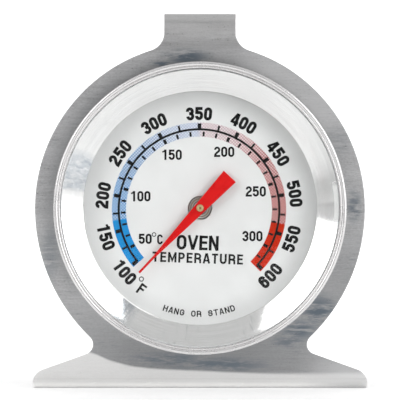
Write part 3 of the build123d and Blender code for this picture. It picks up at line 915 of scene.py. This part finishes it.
def printed_band():
    """Blue for cool, red for hot: solid at the ends, and a dot screen between that thins towards the top."""
    look = Look("band_ink", Specular_IOR_Level=0.12)
    turned = look.from_bottom(look.polar()[1])
    span = SCALE_START - SCALE_END
    share = look.math("DIVIDE", look.minus(SCALE_START, turned), span)
    colours = look.ramp(share, [((SCALE_START - at) / span, linear(*colour)) for at, colour in BAND_COLOURS])
    x, _, z = look.split()
    rows = [look.math("SINE", look.times(across, 2 * pi / (DOT_PITCH * MM)))
            for across in (look.plus(x, z), look.minus(x, z))]
    solid = look.most(look.stretch(turned, -10.4, -11.2), look.stretch(turned, 187.6, 188.4))
    grain = look.spread(look.noise(5.0), 0.95, 1.05)
    ink = look.mix(1.0, colours, grain, "MULTIPLY")
    dot = look.mix(1.0, ink, (0.66, 0.62, 0.68), "MULTIPLY")
    screen = look.mix(look.stretch(look.plus(*rows), -0.3, 0.7), dot, look.mix(0.6, ink, 0.82))
    look.dress(look.mix(solid, screen, ink), look.stretch(grain, 0.95, 1.05, 0.42, 0.55),
               grain, 2.0, 0.4)
    return look


def black_ink():
    """Screen-printed black: matt, a little thin in places."""
    look = Look("black_ink", Specular_IOR_Level=0.15)
    grain = look.noise(7.0, detail=4.0)
    thin = look.noise(1.1)
    tone = look.mix(look.stretch(thin, 0.4, 0.75), linear(14, 13, 14), linear(32, 31, 32))
    look.dress(look.over(tone, linear(50), grain, 0.62, 0.8, 0.4),
               look.spread(grain, 0.45, 0.62), grain, 3.0, 0.4)
    return look


def red_paint():
    """The pointer's paint: bright and slightly mottled, with pinholes."""
    look = Look("pointer_paint", Specular_IOR_Level=0.12)
    mottle = look.noise(1.2, detail=4.0)
    speck = look.noise(6.5, detail=2.0)
    tone = look.mix(look.spread(mottle), linear(198, 10, 11), linear(210, 14, 14))
    look.dress(look.over(tone, linear(120, 12, 14), speck, 0.7, 0.78, 0.55),
               look.spread(mottle, 0.3, 0.45),
               look.plus(mottle, look.times(speck, 0.4)), 8.0, 0.5)
    return look


def bimetal():
    """Rolled strip: rolling lines along it, and a faint brown heat tint in patches."""
    look = Look("bimetal_strip", Metallic=0.05)
    tint = look.noise(0.7, detail=4.0)
    rolled = look.noise((0.6, 9.0, 0.6))
    tone = look.mix(look.stretch(tint, 0.35, 0.65), (0.84, 0.82, 0.79), (0.95, 0.94, 0.92))
    look.dress(look.over(tone, (0.64, 0.60, 0.55), rolled, 0.35, 0.7, 0.4),
               look.spread(rolled, 0.26, 0.42), rolled, 4.0, 0.5)
    return look


def drawn_steel():
    """The rear case: drawn and spun, with fine rings, soft cloudiness and small scuffs."""
    look = Look("drawn_steel", Metallic=1.0, Anisotropic=0.35)
    rings = look.ring_noise(4.0, 0.02)
    cloud = look.noise(0.12, detail=4.0)
    scuff = look.noise(0.9, offset=(2.0, 1.0, 4.0), detail=5.0, rough=0.7)
    tone = look.mix(look.spread(rings), (0.30, 0.30, 0.305), (0.42, 0.42, 0.425))
    tone = look.over(tone, (0.24, 0.245, 0.26), cloud, 0.45, 0.7, 0.5)
    look.dress(look.over(tone, (0.17, 0.17, 0.18), scuff, 0.62, 0.72, 0.6),
               look.spread(rings, 0.24, 0.4), rings, 4.0, 0.5)
    return look


def reflector_metal():
    """The bright cone, with fine turning lines and marks from handling.

    It has a painted reflection of something dark at the upper left, a bluish streaky patch, faint drag marks
    low down, a duller bluish patch low on the left, and painted highlights along two edges.
    """
    look = bright_metal("reflector_bright", (0.885, 0.872, 0.874), rough=0.1, lines=1.0)
    radius, angle = look.polar()
    turned = look.from_bottom(angle)
    streaky_noise = look.ring_noise(0.6, 0.5, detail=5.0, rough=0.65, distortion=0.6)
    # Painted reflection of something dark at the upper left: a bluish streaky patch.
    upper_left = look.times(look.stretch(turned, 152.0, 158.0), look.stretch(turned, 173.0, 170.5))
    tone = look.mix(look.times(upper_left, look.spread(streaky_noise, 0.3, 0.95)), look.fed("Base Color"),
                    (0.50, 0.53, 0.58))
    drag = look.ring_noise(0.4, 0.7, rough=0.6, distortion=0.3)
    lower = look.most(look.within(turned, -66.0, 9.0, 2.0), look.stretch(turned, 250.0, 258.0))
    scored = look.times(look.stretch(drag, 0.54, 0.72), lower)
    tone = look.mix(look.times(scored, 0.34), tone, (0.40, 0.41, 0.43))
    # A patch low on the left, duller and bluer than the rest.
    low_left_patch = look.times(look.stretch(turned, 227.5, 230.5), look.stretch(turned, 241.0, 233.0))
    tone = look.mix(look.times(low_left_patch, look.stretch(streaky_noise, 0.3, 0.6, 0.3, 0.8)), tone, (0.42, 0.45, 0.49))
    # Painted highlight: the foot along the dial's lower left edge, and the lip at the far right, are lightened
    # and made less metallic, so they show as bright lines.
    foot = look.times(look.stretch(radius, CONE_FOOT_R + 0.26, CONE_FOOT_R + 0.12),
                      look.within(turned, 220.0, 40.0, 18.0))
    lip = look.times(look.stretch(radius, CONE_R - 0.85, CONE_R - 0.65), look.within(turned, 2.5, 10.5, 5.5))
    painted_edge_glint = look.most(foot, lip)
    look.to("Base Color", look.mix(painted_edge_glint, tone, (0.93, 0.93, 0.925)))
    look.to("Metallic", look.stretch(painted_edge_glint, 0.0, 1.0, 1.0, 0.15))
    look.to("Normal", look.bump(scored, -2.0, look.fed("Normal")))
    return look


def rolled_rim():
    """The bezel: satin on its beads, duller on the wall that the rolling tool ran along."""
    bead_metallic = 0.8
    look = bright_metal("bezel_polish", (0.79, 0.78, 0.78), rough=0.24, metallic=bead_metallic)
    front = low("bezel").y / MM
    wall = look.stretch(look.millimetres()[1], front + 0.7, front + 1.3)
    drawn = look.noise((0.4, 7.0, 0.4), detail=4.0, rough=0.6)
    darker_tone = look.mix(look.stretch(drawn, 0.35, 0.65), (0.38, 0.38, 0.385), (0.54, 0.54, 0.545))
    look.to("Base Color", look.mix(look.times(wall, 0.9), look.fed("Base Color"), darker_tone))
    look.to("Metallic", look.math("MULTIPLY_ADD", wall, 0.2, bead_metallic))
    return look


def turned_end():
    """The arbor's brass: turning rings, darker in the punch mark and round its edge."""
    look = Look("arbor_brass", Metallic=1.0)
    radius, _ = look.polar()
    rings = look.ring_noise(14.0, 0.0, detail=2.0)
    patch = look.noise(1.6, detail=4.0)
    tone = look.mix(look.spread(rings), (0.62, 0.46, 0.22), (0.80, 0.66, 0.40))
    tone = look.over(tone, (0.45, 0.32, 0.15), patch, 0.45, 0.7, 0.5)
    tone = look.over(tone, (0.16, 0.09, 0.03), radius, 0.32, 0.16, 0.65)
    look.dress(look.over(tone, (0.22, 0.13, 0.06), radius, 0.56, 0.66, 0.6),
               look.spread(patch, 0.26, 0.42), rings, 4.0, 0.6)
    return look


def fibre():
    look = Look("pressed_fibre", Specular_IOR_Level=0.2)
    strands = look.noise((5.0, 1.2, 5.0), detail=5.0, distortion=1.0)
    look.dress(look.mix(look.spread(strands), (0.22, 0.19, 0.14), (0.42, 0.38, 0.31)),
               look.spread(strands, 0.75, 0.9), strands, 20.0, 0.6)
    return look


wear("stand_bracket", look=brushed_steel())
wear(bezel, look=rolled_rim())
wear(reflector, look=reflector_metal())
wear(lens, look=glass())
wear(gasket, look=rubber())
wear(dial, look=enamel())
wear(band, look=printed_band())
wear(scale, numerals, lettering, look=black_ink())
wear(pointer, look=red_paint())
wear(arbor, look=turned_end())
wear(coil, look=bimetal())
wear("rear_case", look=drawn_steel())
wear("packing_ring", look=fibre())
for metal, base, rough, *nodes in (
        ("turned_brass", (0.72, 0.56, 0.30), 0.3, "pointer_hub", "coil_collet", "bearing_sleeve"),
        ("bridge_stamped", (0.55, 0.55, 0.55), 0.36, "movement_bridge"),
        ("rivet_aluminium", (0.52, 0.52, 0.53), 0.38, "bridge_rivets"),
        ("spring_steel", (0.46, 0.46, 0.46), 0.3, "coil_post", "anchor_pin", "thrust_washer", "arbor_clip")):
    wear(*nodes, look=plain_metal(metal, base, rough))


# ---- stage, light and camera, in metres
def make_stage():
    """A pale floor that curves up into a pale wall, wide enough to stand behind every view."""
    side, front, wall, curve, top = 1.5, -1.4, 1.3, 0.4, 1.5
    rows = [(front, 0.0)] + bow(wall - curve, curve, curve, -90, 0, 16) + [(wall, top)]
    bm = bmesh.new()
    pairs = [[bm.verts.new(Vector((x, y, z))) for x in (-side, side)] for y, z in rows]
    for a, b in zip(pairs, pairs[1:]):
        bm.faces.new((a[0], a[1], b[1], b[0]))
    floor = add_mesh("stage", bm)
    look = Look("pale_paper", Specular_IOR_Level=0.2, Roughness=0.9, Emission_Color=(1, 1, 1, 1))
    x, y, z = look.split()
    # In front on the left the sheet is darker, for the steel to reflect.
    corner = look.times(look.stretch(x, -0.02, -0.07), look.stretch(y, -0.06, -0.13, 0.0, 0.36))
    paper = look.mix(look.spread(look.noise(0.5)), 0.86, 0.9)
    look.to("Base Color", look.mix(corner, paper, 0.05))
    # A painted pool of light: the sheet glows most along its middle and falls off to its sides.
    beside = look.minus(look.size(x), look.times(look.most(y, 0.0), 0.14))
    middle = look.most(look.stretch(beside, 0.08, 0.17, 1.0, 0.0), look.stretch(y, -0.05, 0.03))
    pool = look.times(middle, look.stretch(y, -0.03, 0.08, 0.2, 0.45))
    floor_glow = look.plus(pool, look.stretch(y, 0.1, 0.7, 0.0, 0.2))
    look.to("Emission Strength", look.most(floor_glow, look.stretch(z, 0.0, 0.3, 0.0, 0.7)))
    wear(floor, look=look)


def softbox(name, azimuth, elevation, height, brightness):
    """A rectangular light that faces the dial. Azimuth 0 is in front of it, and positive is to the right."""
    distance, width = 0.9, 0.55
    a, e = radians(azimuth), radians(elevation)
    way = Vector((sin(a) * cos(e), -cos(a) * cos(e), sin(e)))
    light = bpy.data.lights.new(name, "AREA")
    light.shape = "RECTANGLE"
    light.size, light.size_y = width, height
    light.energy = brightness * pi * width * height
    lamp = add(name, light)
    lamp.location = Vector((0, PLATE_Y, DIAL_Z)) + way * distance
    lamp.rotation_euler = way.to_track_quat("Z", "Y").to_euler()


def make_world():
    """A grey studio: mid grey level with the eye, lighter overhead and to both sides."""
    world = bpy.data.worlds.new("studio")
    bpy.context.scene.world = world
    world.use_nodes = True
    nodes = Nodes(world.node_tree, "Generated")
    x, _, z = nodes.split()
    sky = nodes.ramp(z, ((0.1, (0.30, 0.30, 0.305)), (0.75, 0.62)))
    sides = nodes.stretch(nodes.size(x), 0.45, 0.85, 0.0, 0.34)
    nodes.feed(nodes.tree.nodes["Background"].inputs["Color"], nodes.mix(1.0, sky, sides, "ADD"))


def make_camera():
    """Level, square to the dial, and far enough away for a narrow view."""
    distance, field, height, sensor = 0.45, 0.07444, 0.03515, 36.0  # the sensor is in millimetres
    data = bpy.data.cameras.new("camera")
    data.sensor_width = sensor
    data.lens = sensor * distance / field
    data.clip_start, data.clip_end = 0.01, 10.0
    camera = add("camera", data)
    camera.location = (0.0, PLATE_Y - distance, height)
    camera.rotation_euler = (radians(90), 0, 0)
    bpy.context.scene.camera = camera


make_stage()
make_world()
softbox("softbox_right", azimuth=57, elevation=20.5, height=0.72, brightness=2.9)
softbox("softbox_left", azimuth=-52, elevation=26, height=0.70, brightness=1.9)
make_camera()
bpy.context.scene.view_settings.view_transform = "Standard"
